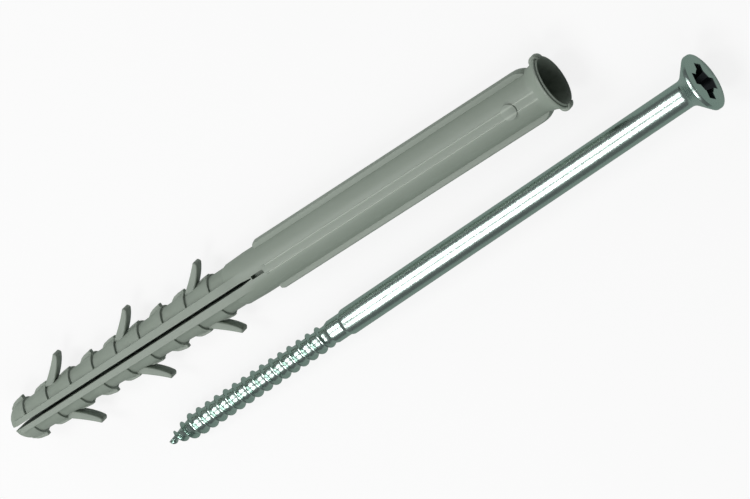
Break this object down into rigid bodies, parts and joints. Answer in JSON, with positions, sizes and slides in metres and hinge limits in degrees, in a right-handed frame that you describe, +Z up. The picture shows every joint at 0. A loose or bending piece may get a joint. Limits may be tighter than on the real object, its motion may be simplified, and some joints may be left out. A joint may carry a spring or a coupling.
{
  "type": "frame fixing",
  "caption": "Long ribbed nylon sleeve with a slotted, barbed and winged tip, lying beside its countersunk zinc-plated screw.",
  "frame": {"origin": "centre of the box round both pieces, on the floor they lie on", "axes": "+X along the sleeve toward its collar, +Y from the screw toward the sleeve, +Z up from the floor"},
  "size_m": [0.1716, 0.0316, 0.0124],
  "materials": {
    "nylon": "grey-green moulded nylon, satin",
    "zinc": "zinc-plated steel, bright, slightly blue-green"
  },
  "bodies": {
    "root": {"sleeve": "nylon", "screw": "zinc"}
  },
  "joints": []
}
